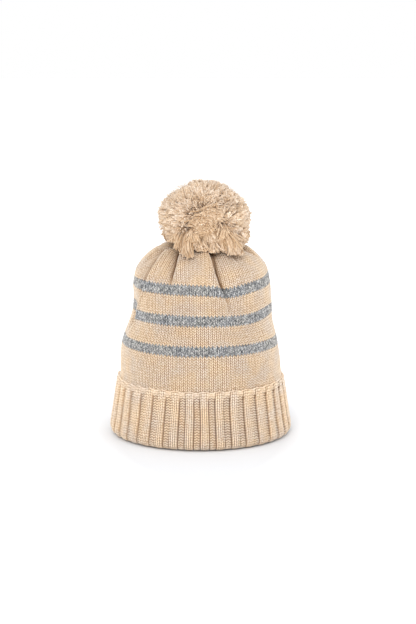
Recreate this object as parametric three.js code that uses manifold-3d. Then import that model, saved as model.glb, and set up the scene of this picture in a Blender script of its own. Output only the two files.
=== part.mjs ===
// Pom pom beanie: a knitted tube gathered at the crown, with a ribbed turn-up cuff and a yarn pom.
// Millimetres, +Z up, front towards -Y. The origin is on the floor, on the hat's own centre line.
import * as THREE from 'three';
import { mergeVertices } from 'three/addons/utils/BufferGeometryUtils.js';
import Module from 'manifold-3d';

// Driving dimensions
const GAP = 0.3; // between pieces that touch
const KNIT_THICKNESS = 2.2;
const CUFF_HEIGHT = 53.7;
const CUFF_FOLD_RADIUS = 85; // widest, just above the fold
const CUFF_TOP_RADIUS = 77.6;
const CUFF_THICKNESS = 3.2;
const RIB_COUNT = 36; // two knit and two purl wales each
const RIB_DEPTH = 1.1;
const BAND_RADIUS = 72.5; // outside of the inner ribbed band
const FOLD_LIP_RADIUS = 68.5; // how far the fold reaches in under the inner band
const FOLD_CORNER = 6;
const WALL_BOTTOM = 57; // height where the plain knitting starts
const STRIPE_HEIGHTS = [[84.9, 93.6], [111, 120.4], [139, 148.3]]; // bottom and top of each grey stripe
const CROWN_PLEATS = 14;
const PLEAT_DEPTH = 1.6;
const POM_CENTRE = [2.8, 0, 200];
const POM_RADIUS = 42.8;
const POM_HALF_HEIGHT = 36.6;
const TIE_RADIUS = 8; // ring of cord pulled tight round the middle of the yarn bundle
const TIE_CORD_RADIUS = 1.1;
const TETHER_RADIUS = 1.6;
const TETHER_RISE = 5; // how far the tether stands out of the gather
const POM_RISE = 7.5; // clearance from the gather to the pom's underside
const KNOT_RADIUS = 7;
const KNOT_FLATNESS = 0.5; // the knot's height as a share of its width
const KNOT_DROP = 4; // from the inside of the gather to the top of the knot
const DRAWSTRING_RADIUS = 0.8; // of the string itself
const DRAWSTRING_REACH = 4; // from the edge of the gathered hole out to the string
const DRAWSTRING_DROP = 2.16; // from the inside of the gather to the string's middle
const SEAM_WIDTH = 6;
const SEAM_DEPTH = 1.8;
const SEAM_CLEARANCE = 4 * GAP; // from the inside of the wall to the seam

// Outside of the plain knitting, from the cuff up over the rim of the crown and down into the gather.
const WALL_OUTLINE = [
  [74.3, WALL_BOTTOM], [73.6, 75], [72.2, 88], [68.8, 98], [65.6, 108], [64.4, 124], [64.3, 139],
  [61, 153], [56.5, 160.6], [50, 168], [41.5, 174.6], [33, 176], [22, 172.5], [10.5, 167], [4.5, 165.4],
];
const GATHER = WALL_OUTLINE[WALL_OUTLINE.length - 1];

// Underside of the pom as [distance from its own axis, height under its middle], out to its widest place.
const POM_UNDERSIDE = [[16, 21], [26, 15.5], [36, 11.5], [POM_RADIUS, 0]];
const POM_FOOT_RADIUS = 8; // flat spot over the tether

// Fineness of the round shapes
const COARSE_TURN = 40; // segments round a plain ring
const SEGMENTS_PER_RIB = 4;
const SEGMENTS_PER_PLEAT = 4;
const BAND_STEPS = 3; // up a beige band
const STRIPE_STEPS = 2; // up a grey stripe
const CROWN_STEPS = 9;
const FOLD_STEPS = 3; // round the cuff's fold
const CUFF_STEPS = 3; // up the cuff
const SEAM_STEPS = 12;
const CORD_SIDES = 12;
const RING_SIDES = 24;
const TORUS_SIDES = 8;
const KNOT_SIDES = 14;
const POM_SIDES = 28;
const POM_STEPS = 7; // from the pom's widest place up to its top, and the same again below

const BEIGE = 0xd8c0a7;
const CUFF_BEIGE = 0xd6bda4;
const GREY = 0xa09d99;
const POM_BEIGE = 0xdcc6a8;
const THREAD = 0xc9b08e;

const wasm = await Module();
wasm.setup();
const hat = new THREE.Group();

function addPiece(name, geometry, colour, parent = hat) {
  const material = new THREE.MeshStandardMaterial({ color: colour, roughness: 0.95, metalness: 0 });
  const mesh = new THREE.Mesh(geometry, material);
  mesh.name = name;
  parent.add(mesh);
  return mesh;
}

// A ring turned about Z from a closed outline of [radius, height] points.
function turned(outline, segments) {
  const points = outline.map(([radius, height]) => new THREE.Vector2(radius, height));
  return new THREE.LatheGeometry(points, segments).rotateX(Math.PI / 2);
}

// Moves each vertex away from the centre line by change(angle, radius, height).
function swell(geometry, change) {
  const position = geometry.getAttribute('position');
  for (let i = 0; i < position.count; i += 1) {
    const x = position.getX(i);
    const y = position.getY(i);
    const radius = Math.hypot(x, y);
    const scale = 1 + change(Math.atan2(y, x), radius, position.getZ(i)) / radius;
    position.setXY(i, x * scale, y * scale);
  }
  return geometry;
}

function welded(geometry) {
  const bare = geometry.clone();
  bare.deleteAttribute('normal');
  bare.deleteAttribute('uv');
  return mergeVertices(bare, 1e-4);
}

function toSolid(geometry) {
  const bare = welded(geometry);
  return new wasm.Manifold(new wasm.Mesh({
    numProp: 3,
    vertProperties: new Float32Array(bare.getAttribute('position').array),
    triVerts: new Uint32Array(bare.getIndex().array),
  }));
}

function fromSolid(solid) {
  const mesh = solid.getMesh();
  const geometry = new THREE.BufferGeometry();
  geometry.setAttribute('position', new THREE.BufferAttribute(new Float32Array(mesh.vertProperties), 3));
  geometry.setIndex(new THREE.BufferAttribute(new Uint32Array(mesh.triVerts), 1));
  return geometry;
}

// The knitted wall: places along its outline are fractions of the outline's length.
const wall = new THREE.SplineCurve(WALL_OUTLINE.map(([radius, height]) => new THREE.Vector2(radius, height)));
const WALL_LENGTH = wall.getLength();
const FRACTION_STEP = 0.0005;

// Fraction of the outline at which the climbing part of the wall first reaches a height.
function wallFraction(height) {
  let at = 0;
  while (wall.getPointAt(at).y < height) {
    at += FRACTION_STEP;
  }
  return at;
}

// Closed outline of the wall's thickness between two fractions.
function wallOutline(from, to, steps) {
  const outside = [];
  const inside = [];
  for (let i = 0; i <= steps; i += 1) {
    const at = from + ((to - from) * i) / steps;
    const point = wall.getPointAt(at);
    const along = wall.getTangentAt(at);
    outside.push([point.x, point.y]);
    inside.unshift([point.x - along.y * KNIT_THICKNESS, point.y + along.x * KNIT_THICKNESS]);
  }
  return [...outside, ...inside, outside[0]];
}

function addWallBand(name, from, to, steps, colour) {
  const half = GAP / 2 / WALL_LENGTH;
  addPiece(name, turned(wallOutline(from + half, to - half, steps), COARSE_TURN), colour);
}

function addBodyBands() {
  const names = [
    ['lower_body_band', 'stripe_lower'],
    ['body_band_above_lower_stripe', 'stripe_middle'],
    ['body_band_above_middle_stripe', 'stripe_upper'],
  ];
  let from = 0;
  STRIPE_HEIGHTS.forEach(([bottom, top], row) => {
    const stripeFrom = wallFraction(bottom);
    const stripeTo = wallFraction(top);
    addWallBand(names[row][0], from, stripeFrom, BAND_STEPS, BEIGE);
    addWallBand(names[row][1], stripeFrom, stripeTo, STRIPE_STEPS, GREY);
    from = stripeTo;
  });
  return from;
}

// Beige crown: plain at its lower edge, drawn into pleats towards the gather.
function addCrown(from) {
  const half = GAP / 2 / WALL_LENGTH;
  const geometry = turned(wallOutline(from + half, 1, CROWN_STEPS), CROWN_PLEATS * SEGMENTS_PER_PLEAT);
  const start = wallFraction(STRIPE_HEIGHTS[2][1]);
  const plain = wall.getPointAt(start).x;
  const position = geometry.getAttribute('position');
  for (let i = 0; i < position.count; i += 1) {
    const x = position.getX(i);
    const y = position.getY(i);
    const radius = Math.hypot(x, y);
    const drawn = Math.max(0, 1 - radius / plain) * Math.min(1, (radius - GATHER[0]) / GATHER[0]);
    const wave = Math.cos(CROWN_PLEATS * Math.atan2(y, x));
    position.setZ(i, position.getZ(i) + PLEAT_DEPTH * wave * Math.max(0, drawn) - PLEAT_DEPTH * drawn);
  }
  addPiece('crown', geometry, BEIGE);
}

// Inner layer of the ribbed brim, hidden behind the turn-up.
function addInnerBand() {
  const bottom = CUFF_THICKNESS + 2 * GAP;
  const top = WALL_BOTTOM - GAP;
  const inner = BAND_RADIUS - KNIT_THICKNESS;
  const outline = [
    [BAND_RADIUS, bottom], [BAND_RADIUS, top], [inner, top], [inner, bottom], [BAND_RADIUS, bottom],
  ];
  addPiece('inner_ribbed_band', turned(outline, COARSE_TURN), CUFF_BEIGE);
}

// Turn-up: flat underneath, round at the fold, flaring from its cast-on edge down to the fold.
function addCuff() {
  const outside = new THREE.Path();
  outside.moveTo(CUFF_FOLD_RADIUS - FOLD_CORNER, 0);
  outside.quadraticCurveTo(CUFF_FOLD_RADIUS, 0, CUFF_FOLD_RADIUS, FOLD_CORNER);
  const corner = outside.getPoints(FOLD_STEPS).map((p) => [p.x, p.y]);
  const slope = [];
  for (let step = 1; step <= CUFF_STEPS; step += 1) {
    const part = step / CUFF_STEPS;
    slope.push([
      CUFF_FOLD_RADIUS + (CUFF_TOP_RADIUS - CUFF_FOLD_RADIUS) * part,
      FOLD_CORNER + (CUFF_HEIGHT - FOLD_CORNER) * part,
    ]);
  }
  const inside = [
    [CUFF_TOP_RADIUS - CUFF_THICKNESS, CUFF_HEIGHT],
    [CUFF_FOLD_RADIUS - CUFF_THICKNESS - 1, FOLD_CORNER],
    [CUFF_FOLD_RADIUS - FOLD_CORNER, CUFF_THICKNESS],
    [FOLD_LIP_RADIUS, CUFF_THICKNESS],
    [FOLD_LIP_RADIUS, 0],
  ];
  const outline = [...corner, ...slope, ...inside, corner[0]];
  const geometry = turned(outline, RIB_COUNT * SEGMENTS_PER_RIB);
  swell(geometry, (angle, radius, height) => {
    const skin = CUFF_FOLD_RADIUS + (CUFF_TOP_RADIUS - CUFF_FOLD_RADIUS) * (height / CUFF_HEIGHT);
    const onOutside = height > FOLD_CORNER - 1 && radius > skin - CUFF_THICKNESS / 2;
    return onOutside ? (RIB_DEPTH / 2) * (Math.cos(RIB_COUNT * angle) - 1) : 0;
  });
  addPiece('turn_up_cuff', geometry, CUFF_BEIGE);
}

// Overlocked seam allowance that stands inside the back of the tube.
function addBackSeam() {
  const from = wallFraction(WALL_BOTTOM + 1);
  const to = wallFraction(STRIPE_HEIGHTS[2][1]);
  const inset = KNIT_THICKNESS + SEAM_CLEARANCE;
  const route = [];
  for (let i = 0; i <= SEAM_STEPS; i += 1) {
    const at = from + ((to - from) * i) / SEAM_STEPS;
    const point = wall.getPointAt(at);
    const along = wall.getTangentAt(at);
    route.push(new THREE.Vector3(0, point.x - along.y * (inset + SEAM_DEPTH / 2), point.y));
  }
  const section = new THREE.Shape();
  section.moveTo(-SEAM_WIDTH / 2, -SEAM_DEPTH / 2);
  section.lineTo(SEAM_WIDTH / 2, -SEAM_DEPTH / 2);
  section.lineTo(SEAM_WIDTH / 2, SEAM_DEPTH / 2);
  section.lineTo(-SEAM_WIDTH / 2, SEAM_DEPTH / 2);
  section.closePath();
  const path = new THREE.CatmullRomCurve3(route);
  addPiece('back_seam', new THREE.ExtrudeGeometry(section, { steps: SEAM_STEPS, extrudePath: path }), BEIGE);
}

// Drawstring that closes the crown, lying in a ring just inside the gather.
function addDrawstring() {
  const reach = GATHER[0] + DRAWSTRING_REACH;
  const ring = new THREE.TorusGeometry(reach, DRAWSTRING_RADIUS, TORUS_SIDES, RING_SIDES);
  ring.translate(0, 0, GATHER[1] - KNIT_THICKNESS - DRAWSTRING_DROP);
  addPiece('crown_drawstring', ring, THREAD);
}

// Knot under the gather that keeps the pom's tie cord from pulling back out.
function addKnot() {
  const knot = new THREE.SphereGeometry(KNOT_RADIUS, KNOT_SIDES, KNOT_SIDES / 2);
  knot.rotateX(Math.PI / 2);
  knot.scale(1, 1, KNOT_FLATNESS);
  knot.translate(0, 0, GATHER[1] - KNIT_THICKNESS - KNOT_DROP - KNOT_RADIUS * KNOT_FLATNESS);
  addPiece('tie_cord_knot', knot, THREAD);
}

// Short length of the tie cord that passes through the gathered hole.
function addTether() {
  const bottom = GATHER[1] - KNIT_THICKNESS - KNOT_DROP + GAP;
  const top = GATHER[1] + TETHER_RISE;
  const tether = new THREE.CylinderGeometry(TETHER_RADIUS, TETHER_RADIUS, top - bottom, CORD_SIDES);
  tether.rotateX(Math.PI / 2);
  tether.translate(0, 0, (top + bottom) / 2);
  addPiece('tie_cord_tether', tether, THREAD);
}

// A straight round rod between two points.
function rod(from, to, radius, sides) {
  const along = to.clone().sub(from);
  const shape = new THREE.CylinderGeometry(radius, radius, along.length(), sides);
  const upright = new THREE.Vector3(0, 1, 0);
  const turn = new THREE.Quaternion().setFromUnitVectors(upright, along.clone().normalize());
  shape.applyQuaternion(turn);
  const middle = from.clone().add(to).multiplyScalar(0.5);
  return shape.translate(middle.x, middle.y, middle.z);
}

// Whole pom as one turned body: a round top over an underside that rises away from the crown.
function pomSolid() {
  const middle = POM_CENTRE[2];
  const bottom = GATHER[1] + POM_RISE;
  const underside = new THREE.SplineCurve([
    new THREE.Vector2(POM_FOOT_RADIUS, bottom),
    ...POM_UNDERSIDE.map(([distance, drop]) => new THREE.Vector2(distance, middle - drop)),
  ]);
  const outline = [[0, bottom], ...underside.getPoints(POM_STEPS).map((p) => [p.x, p.y])];
  for (let i = 1; i < POM_STEPS; i += 1) {
    const angle = (Math.PI / 2) * (i / POM_STEPS);
    outline.push([POM_RADIUS * Math.cos(angle), middle + POM_HALF_HEIGHT * Math.sin(angle)]);
  }
  outline.push([0, middle + POM_HALF_HEIGHT]);
  return toSolid(turned(outline, POM_SIDES)).translate([POM_CENTRE[0], POM_CENTRE[1], 0]);
}

// Ring of cord that stands upright across the middle of the yarn bundle.
function tieRing(cordRadius) {
  const ring = new THREE.TorusGeometry(TIE_RADIUS, cordRadius, TORUS_SIDES, RING_SIDES).rotateY(Math.PI / 2);
  return ring.translate(...POM_CENTRE);
}

// The cord ring and its tails, the waist of strands inside it, and the half balls that fan out of the waist.
function addPom() {
  const centre = new THREE.Vector3(...POM_CENTRE);
  addPiece('pom_tie_cord', tieRing(TIE_CORD_RADIUS), THREAD);

  const tailTop = centre.clone().add(new THREE.Vector3(0, 0, -TIE_RADIUS - TIE_CORD_RADIUS - GAP));
  const tailBottom = new THREE.Vector3(0, 0, GATHER[1] + POM_RISE);
  addPiece('pom_tie_tails', rod(tailTop, tailBottom, TETHER_RADIUS, CORD_SIDES), THREAD);

  const waistRadius = TIE_RADIUS - TIE_CORD_RADIUS - GAP;
  const halfWaist = new THREE.Vector3(TIE_RADIUS, 0, 0);
  const waistEnds = [centre.clone().sub(halfWaist), centre.clone().add(halfWaist)];
  addPiece('pom_waist_strands', rod(...waistEnds, waistRadius, RING_SIDES), POM_BEIGE);

  const overrun = tailTop.clone().sub(tailBottom).setLength(TIE_CORD_RADIUS + 2 * GAP);
  const tailBore = [tailTop.clone().add(overrun), tailBottom.clone().sub(overrun)];
  const endGap = new THREE.Vector3(GAP, 0, 0);
  const boreEnds = [waistEnds[0].clone().sub(endGap), waistEnds[1].clone().add(endGap)];
  const hollows = [
    tieRing(TIE_CORD_RADIUS + GAP),
    rod(...boreEnds, waistRadius + GAP, RING_SIDES),
    rod(...tailBore, TETHER_RADIUS + GAP, CORD_SIDES),
  ];
  const ball = hollows.reduce((solid, hollow) => solid.subtract(toSolid(hollow)), pomSolid());
  const reach = 2 * POM_RADIUS;
  [['pom_left_half', -1], ['pom_right_half', 1]].forEach(([name, side]) => {
    const block = new THREE.BoxGeometry(reach, 2 * reach, 2 * reach);
    block.translate(centre.x + side * (reach / 2 + GAP / 2), centre.y, centre.z);
    addPiece(name, fromSolid(ball.intersect(toSolid(block))), POM_BEIGE);
  });
}

addInnerBand();
addCuff();
addCrown(addBodyBands());
addBackSeam();
addDrawstring();
addKnot();
addTether();
addPom();

export default hat;
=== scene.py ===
import bpy
import numpy as np
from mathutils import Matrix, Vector


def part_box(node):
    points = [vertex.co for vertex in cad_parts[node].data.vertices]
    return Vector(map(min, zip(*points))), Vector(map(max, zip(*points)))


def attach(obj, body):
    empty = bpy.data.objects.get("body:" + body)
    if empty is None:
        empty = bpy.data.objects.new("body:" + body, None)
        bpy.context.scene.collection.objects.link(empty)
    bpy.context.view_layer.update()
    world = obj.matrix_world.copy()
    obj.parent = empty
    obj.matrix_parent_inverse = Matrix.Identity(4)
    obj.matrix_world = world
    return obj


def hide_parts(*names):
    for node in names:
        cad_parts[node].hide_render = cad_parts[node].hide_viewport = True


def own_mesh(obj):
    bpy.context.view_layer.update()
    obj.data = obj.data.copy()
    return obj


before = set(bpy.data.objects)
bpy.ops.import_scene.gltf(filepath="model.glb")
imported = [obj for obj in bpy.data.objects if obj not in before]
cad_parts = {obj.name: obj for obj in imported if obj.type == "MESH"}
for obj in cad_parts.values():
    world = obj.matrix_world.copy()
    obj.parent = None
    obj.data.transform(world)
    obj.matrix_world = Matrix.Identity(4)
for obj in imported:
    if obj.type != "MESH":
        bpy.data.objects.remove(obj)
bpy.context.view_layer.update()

MM = 0.001
FULL_TURN = 2 * np.pi
GOLDEN_TURN = np.pi * (1 + 5**0.5)

# Knitting
WALES = 120  # columns of stitches round the plain knitting
COURSE = 2.33  # height of one row of stitches
STITCH_RELIEF = 0.8  # how far a stitch's legs stand out of the fabric
SLANT = 1.0  # rise of a leg from the middle of its V to the edge of the wale, in courses
FABRIC = 2.0  # thickness under the stitches
RIBS = 36
RIB_RELIEF = 1.2  # knit wales stand this far out of the middle, purl wales this far in
MIDDLE_SHADE = 0.4  # relief that plain surfaces are shaded with

# Pom
STRAND_RADIUS = 0.7
STRAND_TWIST = 6.5  # length of one turn of the plies


def box_of(node):
    low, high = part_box(node)
    return np.array(low) / MM, np.array(high) / MM


def middle_and_half(node):
    low, high = box_of(node)
    return (low + high) / 2, (high - low) / 2


# ---- camera, floor and light

LOOK_AT = (6.8, 0.0, 112.5)
STAND_AT = (6.8, -1654.0, 417.5)
SENSOR_WIDTH = 36.0
LENS = 104.4
# Places of the lights are metres: name, place, size and power.
LIGHTS = [("key", (-0.35, -1.8, 1.35), 1.0, 18.0), ("fill", (1.3, -1.0, 1.3), 1.2, 3.5)]
LIT_PLACE = (0, 0, 0.1)
FLOOR_HALF = 6.0
FLOOR_COLOUR = (0.80, 0.815, 0.84)
# The floor glows round the hat, from none at the first distance to FLOOR_GLOW at the second.
GLOW_STRETCH = (1.3, 0.6, 1.0)
GLOW_FROM = 0.1
GLOW_TO = 0.2
FLOOR_GLOW = 0.55
WHITE = (1.0, 1.0, 1.0, 1.0)


def link(tree, source, target):
    tree.links.new(source, target)


def set_inputs(node, values):
    for name, value in values.items():
        node.inputs[name].default_value = value


def aimed(name, data, place, aim):
    """Object that stands at a place and looks at another, both in metres."""
    thing = bpy.data.objects.new(name, data)
    thing.location = place
    thing.rotation_mode = "QUATERNION"
    thing.rotation_quaternion = (Vector(aim) - Vector(place)).to_track_quat("-Z", "Y")
    bpy.context.scene.collection.objects.link(thing)
    return thing


def make_camera():
    data = bpy.data.cameras.new("camera")
    data.sensor_width = SENSOR_WIDTH
    data.lens = LENS
    bpy.context.scene.camera = aimed("camera", data, Vector(STAND_AT) * MM, Vector(LOOK_AT) * MM)


def make_studio():
    scene = bpy.context.scene
    scene.view_settings.view_transform = "Standard"
    world = bpy.data.worlds.new("studio")
    world.use_nodes = True
    set_inputs(world.node_tree.nodes["Background"], {"Color": WHITE, "Strength": 1.0})
    scene.world = world
    for name, place, size, power in LIGHTS:
        data = bpy.data.lights.new(name, "AREA")
        data.shape = "DISK"
        data.size = size
        data.energy = power
        aimed(name, data, place, LIT_PLACE)

    half = FLOOR_HALF
    corners = [(-half, -half, 0), (half, -half, 0), (half, half, 0), (-half, half, 0)]
    mesh = bpy.data.meshes.new("floor")
    mesh.from_pydata(corners, [], [(0, 1, 2, 3)])
    floor = bpy.data.objects.new("floor", mesh)
    material = bpy.data.materials.new("floor")
    material.use_nodes = True
    tree = material.node_tree
    shader = tree.nodes["Principled BSDF"]
    set_inputs(shader, {"Base Color": (*FLOOR_COLOUR, 1.0), "Roughness": 0.9, "Emission Color": WHITE})
    stretched = tree.nodes.new("ShaderNodeVectorMath")
    stretched.operation = "MULTIPLY"
    stretched.inputs[1].default_value = GLOW_STRETCH
    link(tree, tree.nodes.new("ShaderNodeTexCoord").outputs["Object"], stretched.inputs[0])
    distance = tree.nodes.new("ShaderNodeVectorMath")
    distance.operation = "LENGTH"
    link(tree, stretched.outputs["Vector"], distance.inputs[0])
    glow = tree.nodes.new("ShaderNodeMapRange")
    set_inputs(glow, {"From Min": GLOW_FROM, "From Max": GLOW_TO, "To Min": 0.0, "To Max": FLOOR_GLOW})
    link(tree, distance.outputs["Value"], glow.inputs["Value"])
    link(tree, glow.outputs["Result"], shader.inputs["Emission Strength"])
    mesh.materials.append(material)
    scene.collection.objects.link(floor)


make_camera()
make_studio()


# ---- materials

FLECK_SIZE = 1.2
FLECK_STRETCH = (1.0, 1.0, 0.55)
DRIFT_SIZE = 17.0  # of the slow changes of tone
FIBRE_SIZE = 0.35
FIBRE_BUMP = 0.12
BUMP_STRENGTH = 0.3
YARN_SURFACE = {
    "Roughness": 0.92,
    "Specular IOR Level": 0.12,
    "Sheen Weight": 0.35,
    "Sheen Roughness": 0.5,
    "Sheen Tint": (1.0, 0.9, 0.8, 1.0),
}
# FLECKS are a yarn's colours, TONES what they drift between, and SHADE is painted shade, which darkens them
# from the top of a stitch (1) down to a crevice (0) and, where it goes above 1, paints the tops lighter.
BEIGE_FLECKS = [(0.34, (0.625, 0.49, 0.37)), (0.5, (0.80, 0.68, 0.55)), (0.66, (0.905, 0.82, 0.715))]
BEIGE_TONES = [(0.36, (0.93, 0.945, 0.98)), (0.64, (1.0, 0.955, 0.87))]
POM_FLECKS = [(0.34, (0.72, 0.58, 0.455)), (0.5, (0.88, 0.76, 0.63)), (0.66, (0.99, 0.91, 0.81))]
POM_TONES = [(0.36, (0.97, 0.97, 0.985)), (0.64, (1.0, 0.975, 0.93))]
GREY_FLECKS = [
    (0.36, (0.11, 0.115, 0.12)),
    (0.46, (0.30, 0.30, 0.295)),
    (0.56, (0.49, 0.48, 0.46)),
    (0.67, (0.81, 0.79, 0.75)),
]
GREY_TONES = [(0.35, (0.94, 0.96, 1.0)), (0.65, (1.0, 0.99, 0.97))]
KNIT_SHADE = [(0.0, (0.20, 0.12, 0.07)), (0.35, (0.76, 0.65, 0.54)), (0.75, (1.0, 1.0, 1.0))]
GREY_SHADE = [(0.0, (0.20, 0.21, 0.23)), (0.35, (0.74, 0.75, 0.77)), (0.75, (1.0, 1.0, 1.0))]
RIB_SHADE = [
    (0.0, (0.13, 0.07, 0.04)),
    (0.4, (0.71, 0.60, 0.50)),
    (0.75, (1.09, 1.06, 1.02)),
    (1.0, (1.16, 1.15, 1.14)),
]
POM_SHADE = [(0.0, (0.45, 0.31, 0.18)), (0.45, (0.79, 0.69, 0.575)), (0.85, (1.05, 1.04, 1.03))]


def ramp_node(tree, factor, stops):
    ramp = tree.nodes.new("ShaderNodeValToRGB")
    link(tree, factor, ramp.inputs["Fac"])
    elements = ramp.color_ramp.elements
    while len(elements) < len(stops):
        elements.new(0.5)
    for element, (place, colour) in zip(elements, stops):
        element.position = place
        element.color = (*colour, 1.0)
    return ramp.outputs["Color"]


def noise_node(tree, coordinates, size, detail):
    noise = tree.nodes.new("ShaderNodeTexNoise")
    set_inputs(noise, {"Scale": 1 / (size * MM), "Detail": detail})
    link(tree, coordinates, noise.inputs["Vector"])
    return noise.outputs["Fac"]


def multiply_node(tree, first, second):
    mix = tree.nodes.new("ShaderNodeMix")
    mix.data_type = "RGBA"
    mix.blend_type = "MULTIPLY"
    mix.inputs[0].default_value = 1.0
    link(tree, first, mix.inputs[6])
    link(tree, second, mix.inputs[7])
    return mix.outputs[2]


def yarn_material(name, flecks, tones, shade):
    """Spun yarn: flecks of dyed fibre, slow drifts between tones, shade painted into the crevices and a fine
    fibre bump.
    """
    material = bpy.data.materials.new(name)
    material.use_nodes = True
    tree = material.node_tree
    shader = tree.nodes["Principled BSDF"]
    place = tree.nodes.new("ShaderNodeTexCoord").outputs["Object"]
    mapping = tree.nodes.new("ShaderNodeMapping")
    set_inputs(mapping, {"Scale": FLECK_STRETCH})
    link(tree, place, mapping.inputs["Vector"])
    stretched = mapping.outputs["Vector"]

    fleck = ramp_node(tree, noise_node(tree, stretched, FLECK_SIZE, 3.0), flecks)
    drift = ramp_node(tree, noise_node(tree, place, DRIFT_SIZE, 1.0), tones)
    # Painted shade: the relief attribute darkens the colour in crevices and lightens it on tops.
    relief = tree.nodes.new("ShaderNodeAttribute")
    relief.attribute_name = "relief"
    depth = ramp_node(tree, relief.outputs["Fac"], shade)
    colour = multiply_node(tree, multiply_node(tree, fleck, drift), depth)
    link(tree, colour, shader.inputs["Base Color"])

    bump = tree.nodes.new("ShaderNodeBump")
    set_inputs(bump, {"Strength": BUMP_STRENGTH, "Distance": FIBRE_BUMP * MM})
    link(tree, noise_node(tree, stretched, FIBRE_SIZE, 3.0), bump.inputs["Height"])
    link(tree, bump.outputs["Normal"], shader.inputs["Normal"])
    set_inputs(shader, YARN_SURFACE)
    return material


beige_yarn = yarn_material("beige_yarn", BEIGE_FLECKS, BEIGE_TONES, KNIT_SHADE)
rib_yarn = yarn_material("rib_yarn", BEIGE_FLECKS, BEIGE_TONES, RIB_SHADE)
grey_yarn = yarn_material("grey_yarn", GREY_FLECKS, GREY_TONES, GREY_SHADE)
pom_yarn = yarn_material("pom_yarn", POM_FLECKS, POM_TONES, POM_SHADE)
cord_yarn = yarn_material("cord_yarn", BEIGE_FLECKS, BEIGE_TONES, KNIT_SHADE)


# ---- meshes


def add_piece(name, points, faces, material, relief, body, node):
    """points in mm, faces as an array of quads or triangles, relief as painted shade: 0 in crevices, 1 on
    top.
    """
    mesh = bpy.data.meshes.new(name)
    corners = faces.shape[1]
    mesh.vertices.add(len(points))
    mesh.vertices.foreach_set("co", (points * MM).astype(np.float32).ravel())
    mesh.loops.add(faces.size)
    mesh.loops.foreach_set("vertex_index", faces.astype(np.int32).ravel())
    mesh.polygons.add(len(faces))
    mesh.polygons.foreach_set("loop_start", np.arange(0, faces.size, corners, dtype=np.int32))
    mesh.polygons.foreach_set("use_smooth", np.ones(len(faces), dtype=bool))
    mesh.update(calc_edges=True)
    values = mesh.attributes.new("relief", "FLOAT", "POINT")
    values.data.foreach_set("value", relief.astype(np.float32).ravel())
    mesh.materials.append(material)
    piece = bpy.data.objects.new(name, mesh)
    bpy.context.scene.collection.objects.link(piece)
    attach(piece, body)
    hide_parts(node)
    return piece


def looped_grid_faces(rows, columns):
    """Quads of a grid whose last row joins its first, and whose last column joins its first."""
    corner = np.arange(rows * columns).reshape(rows, columns)
    right = np.roll(corner, -1, axis=1)
    above = np.roll(corner, -1, axis=0)
    across = np.roll(right, -1, axis=0)
    return np.stack([corner, right, across, above], axis=-1).reshape(-1, 4)


def add_shell(name, grid, material, relief, body):
    """Piece whose points are a looped grid, shaped (rows, columns, 3). It replaces the node of its name."""
    faces = looped_grid_faces(*grid.shape[:2])
    add_piece(name, grid.reshape(-1, 3), faces, material, relief, body, name)


def halved(quads):
    """Two triangles from each quad."""
    return np.concatenate([quads[:, [0, 1, 2]], quads[:, [0, 2, 3]]])


def capped_tube_faces(rows, sides):
    """Triangles of a tube whose rings are followed by one point in the middle of each end."""
    corner = np.arange(rows * sides).reshape(rows, sides)
    beside = np.roll(corner, -1, axis=1)
    quads = np.stack([corner[:-1], beside[:-1], beside[1:], corner[1:]], axis=-1).reshape(-1, 4)
    near_fan = np.stack([beside[0], corner[0], np.full(sides, rows * sides)], axis=-1)
    far_fan = np.stack([corner[-1], beside[-1], np.full(sides, rows * sides + 1)], axis=-1)
    return np.concatenate([halved(quads), near_fan, far_fan])


def unit(vectors):
    return vectors / (np.linalg.norm(vectors, axis=-1, keepdims=True) + 1e-12)


def places_round(turn, radius, height):
    """Points at a turn about the hat's axis."""
    return np.stack([radius * np.sin(turn), -radius * np.cos(turn), height], axis=-1)


# ---- shape of the knitted wall

# Outside of the wall as [radius, height], from behind the cuff's edge, over the rim, to the gather.
WALL_OUTLINE = np.array([
    [74.2, 49.0], [75.4, 53.5], [74.8, 60.0], [73.9, 75.0], [72.2, 88.0], [68.8, 98.0], [65.6, 108.0],
    [64.4, 124.0], [64.3, 139.0], [61.0, 153.0], [56.5, 160.6], [50.0, 168.0], [41.5, 174.6], [33.0, 176.0],
    [22.0, 172.5], [10.5, 167.0], [4.5, 165.4],
])


def through(points, steps_each=24):
    """Smooth curve through the points, with steps_each samples between neighbours."""
    ends = np.vstack([points[:1], points, points[-1:]])
    t = np.linspace(0, 1, steps_each, endpoint=False)[:, None]
    stretches = []
    for before, start, end, after in zip(ends, ends[1:], ends[2:], ends[3:]):
        leave, arrive = (end - before) / 2, (after - start) / 2
        cubic = 2 * start - 2 * end + leave + arrive
        square = -3 * start + 3 * end - 2 * leave - arrive
        stretches.append(cubic * t**3 + square * t**2 + leave * t + start)
    return np.vstack([*stretches, points[-1:]])


def lengths_along(curve):
    steps = np.linalg.norm(np.diff(curve, axis=0), axis=1)
    return np.concatenate([[0.0], np.cumsum(steps)])


wall_curve = through(WALL_OUTLINE)
wall_length = lengths_along(wall_curve)
RIM_AT = wall_length[np.argmax(wall_curve[:, 1])]
RIM_MARGIN = 5
climbing = wall_length < RIM_AT - RIM_MARGIN


def wall_at_height(height):
    """Length along the wall at which its climbing part reaches a height."""
    return np.interp(height, wall_curve[climbing, 1], wall_length[climbing])


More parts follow.
